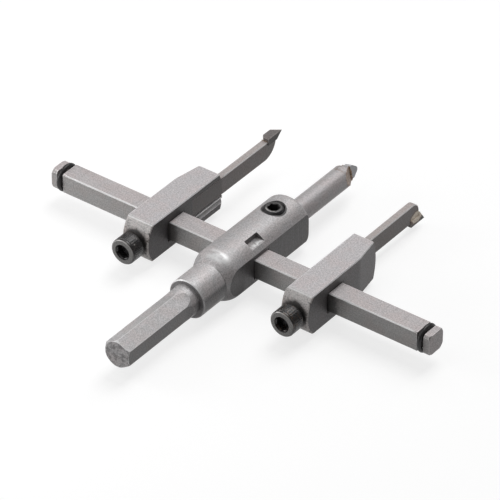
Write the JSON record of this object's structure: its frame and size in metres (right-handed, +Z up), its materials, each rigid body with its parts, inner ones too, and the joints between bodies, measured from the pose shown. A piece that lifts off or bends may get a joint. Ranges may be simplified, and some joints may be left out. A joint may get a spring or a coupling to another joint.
{
  "type": "adjustable tile hole cutter",
  "caption": "Arbor with a hex shank and carbide pilot drill, a square crossbar across it, and sliding clamp blocks whose carbide-tipped bits cut a round hole in tile.",
  "frame": {"origin": "centre of the end face of the hex shank", "axes": "+Y along the spindle from the shank towards the pilot drill's point, +X along the crossbar, +Z up with the tool lying on its side and the set screw on top"},
  "size_m": [0.1632, 0.1365, 0.0203],
  "materials": {
    "spindle_steel": "cast steel, bead blasted to a satin grey",
    "pilot_steel": "satin ground rod",
    "pilot_carbide": "ground carbide, dull grey",
    "set_screw_black": "black oxide with a light sheen",
    "bar_steel": "satin blasted bar with bright edges",
    "ring_black": "black spring steel",
    "block_steel": "cast steel, bead blasted, grainy",
    "clamp_screw_black": "black oxide, slightly worn",
    "bit_steel": "satin ground flat bar",
    "insert_carbide": "ground carbide, dark grey"
  },
  "bodies": {
    "spindle": {"arbor_body": "spindle_steel", "crossbar": "bar_steel", "left_retaining_ring": "ring_black", "right_retaining_ring": "ring_black"},
    "pilot": {"pilot_drill": "pilot_steel", "pilot_carbide_tip": "pilot_carbide"},
    "set_screw": {"pilot_set_screw": "set_screw_black"},
    "left_holder": {"left_clamp_block": "block_steel", "left_cutter_bit": "bit_steel", "left_carbide_insert": "insert_carbide"},
    "right_holder": {"right_clamp_block": "block_steel", "right_cutter_bit": "bit_steel", "right_carbide_insert": "insert_carbide"},
    "left_screw": {"left_clamp_screw": "clamp_screw_black"},
    "right_screw": {"right_clamp_screw": "clamp_screw_black"}
  },
  "joints": [
    {"name": "left_holder_slide", "type": "slide", "parent": "spindle", "child": "left_holder", "axis": [-1, 0, 0], "range_m": [-0.02, 0.0363]},
    {"name": "right_holder_slide", "type": "slide", "parent": "spindle", "child": "right_holder", "axis": [1, 0, 0], "range_m": [-0.02, 0.0363]},
    {"name": "left_screw_turn", "type": "hinge", "parent": "left_holder", "child": "left_screw", "pos_m": [-0.0343, 0.05, 0], "axis": [0, -1, 0], "range_deg": [0, 360]},
    {"name": "right_screw_turn", "type": "hinge", "parent": "right_holder", "child": "right_screw", "pos_m": [0.0343, 0.05, 0], "axis": [0, -1, 0], "range_deg": [0, 360]},
    {"name": "pilot_drill_slide", "type": "slide", "parent": "spindle", "child": "pilot", "axis": [0, 1, 0], "range_m": [0, 0.015]},
    {"name": "set_screw_turn", "type": "hinge", "parent": "spindle", "child": "set_screw", "pos_m": [0, 0.088, 0.008], "axis": [0, 0, 1], "range_deg": [0, 360]}
  ]
}
